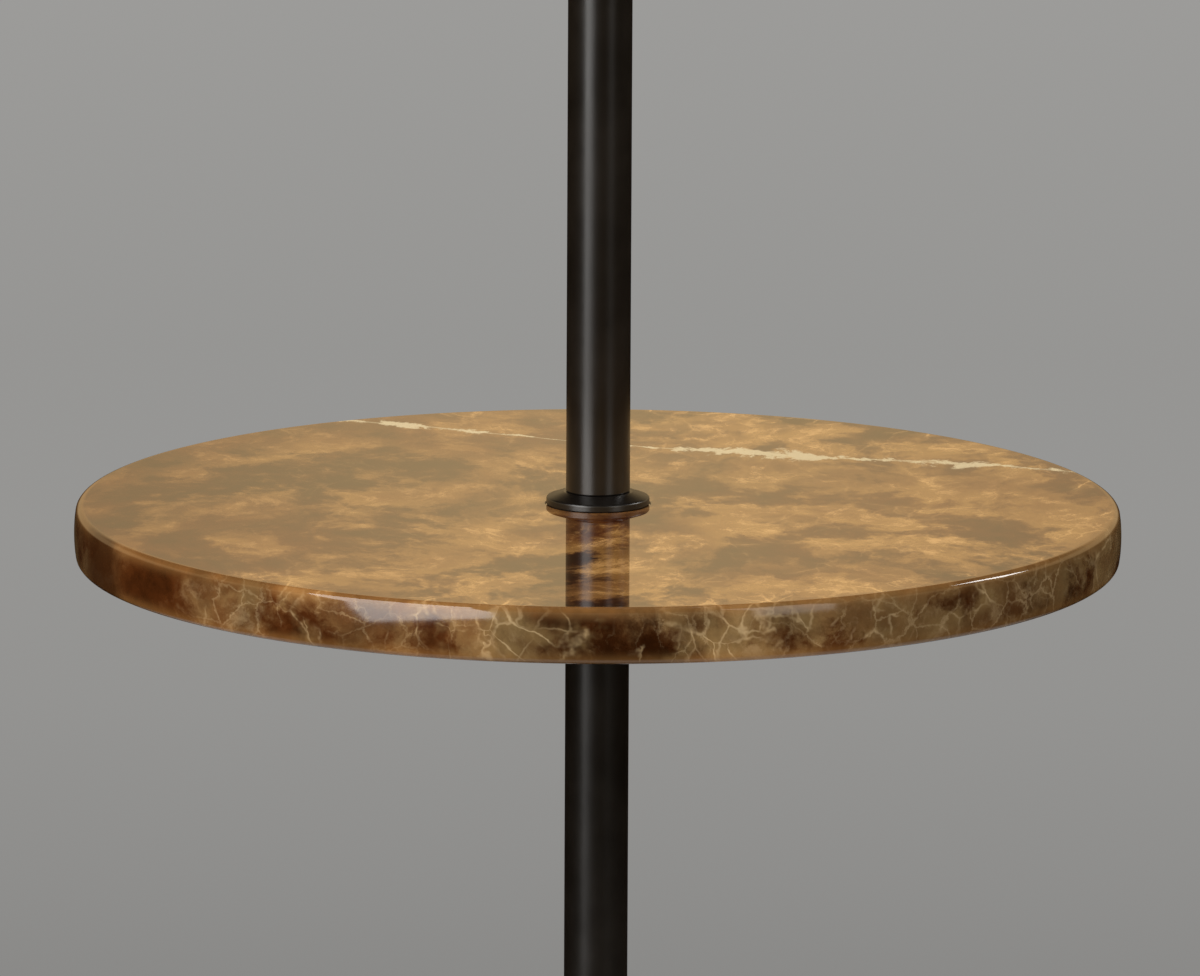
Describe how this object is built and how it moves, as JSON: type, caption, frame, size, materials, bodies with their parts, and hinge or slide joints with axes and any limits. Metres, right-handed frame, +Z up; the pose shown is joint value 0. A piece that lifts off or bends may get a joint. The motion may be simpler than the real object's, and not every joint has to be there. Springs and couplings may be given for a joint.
{
  "type": "floor lamp with table",
  "caption": "Floor lamp: a slim round dark metal pole carries a round polished brown marble table at mid height, a drum shade above it and a heavy round foot below.",
  "frame": {"origin": "on the floor, under the middle of the pole", "axes": "+Z up along the pole, -Y towards the switch and the viewer, +Y towards the cord inlet, +X to the right"},
  "size_m": [0.3811, 0.3812, 1.4758],
  "materials": {
    "dark_bronze": "satin dark bronze lacquer",
    "marble": "polished brown marble with cream veins",
    "iron": "as cast, painted",
    "felt": "felt",
    "zinc_steel": "zinc plated",
    "brass": "plain",
    "rubber": "matte",
    "phenolic": "moulded",
    "fibre": "insulating fibre board",
    "linen": "woven linen",
    "styrene": "translucent sheet",
    "opal_glass": "opal",
    "flex_sheath": "flexible sheath"
  },
  "bodies": {
    "stand": {"base_pad": "felt", "base_weight": "iron", "base_cover": "dark_bronze", "cord_bushing": "rubber", "terminal_block": "phenolic", "terminal_screws": "brass", "base_washer": "zinc_steel", "base_nut": "zinc_steel", "base_nipple": "zinc_steel", "base_collar": "dark_bronze", "lower_tube": "dark_bronze", "lower_tube_plugs": "zinc_steel", "under_collar": "dark_bronze", "table_support_plate": "dark_bronze", "lower_gasket": "rubber", "table_top": "marble", "upper_gasket": "rubber", "table_collar": "dark_bronze", "table_nipple": "zinc_steel", "upper_tube": "dark_bronze", "upper_tube_plugs": "zinc_steel", "head_collar": "dark_bronze", "head_nipple": "zinc_steel", "harp_saddle": "dark_bronze", "head_washer": "zinc_steel", "socket_cap": "dark_bronze", "socket_shell": "dark_bronze", "socket_liner": "fibre", "socket_body": "phenolic", "socket_screw_shell": "brass", "socket_contact": "brass", "socket_terminals": "brass", "harp": "dark_bronze", "harp_stud": "dark_bronze", "inner_flex": "flex_sheath"},
    "bulb": {"bulb_globe": "opal_glass", "bulb_cap": "zinc_steel", "bulb_insulator": "phenolic", "bulb_contact": "zinc_steel"},
    "switch": {"switch_stem": "brass", "switch_knob": "phenolic"},
    "ferrule_left": {"harp_ferrule_left": "dark_bronze"},
    "ferrule_right": {"harp_ferrule_right": "dark_bronze"},
    "shade": {"shade_spider": "dark_bronze", "shade_bottom_ring": "dark_bronze", "shade_liner": "styrene", "shade_fabric": "linen", "shade_trim_bottom": "linen", "shade_trim_top": "linen"},
    "finial": {"finial": "dark_bronze"}
  },
  "joints": [
    {"name": "switch_turn", "type": "hinge", "parent": "stand", "child": "switch", "pos_m": [0, -0.019, 1.2563], "axis": [0, -1, 0], "continuous": true},
    {"name": "shade_swivel", "type": "hinge", "parent": "stand", "child": "shade", "pos_m": [0, 0, 1.4438], "axis": [0, 0, 1], "continuous": true},
    {"name": "finial_turn", "type": "hinge", "parent": "stand", "child": "finial", "pos_m": [0, 0, 1.4458], "axis": [0, 0, 1], "continuous": true},
    {"name": "bulb_turn", "type": "hinge", "parent": "stand", "child": "bulb", "pos_m": [0, 0, 1.2643], "axis": [0, 0, 1], "continuous": true},
    {"name": "ferrule_left_lift", "type": "slide", "parent": "stand", "child": "ferrule_left", "axis": [0, 0, 1], "range_m": [0, 0.012]},
    {"name": "ferrule_right_lift", "type": "slide", "parent": "stand", "child": "ferrule_right", "axis": [0, 0, 1], "range_m": [0, 0.012]}
  ]
}
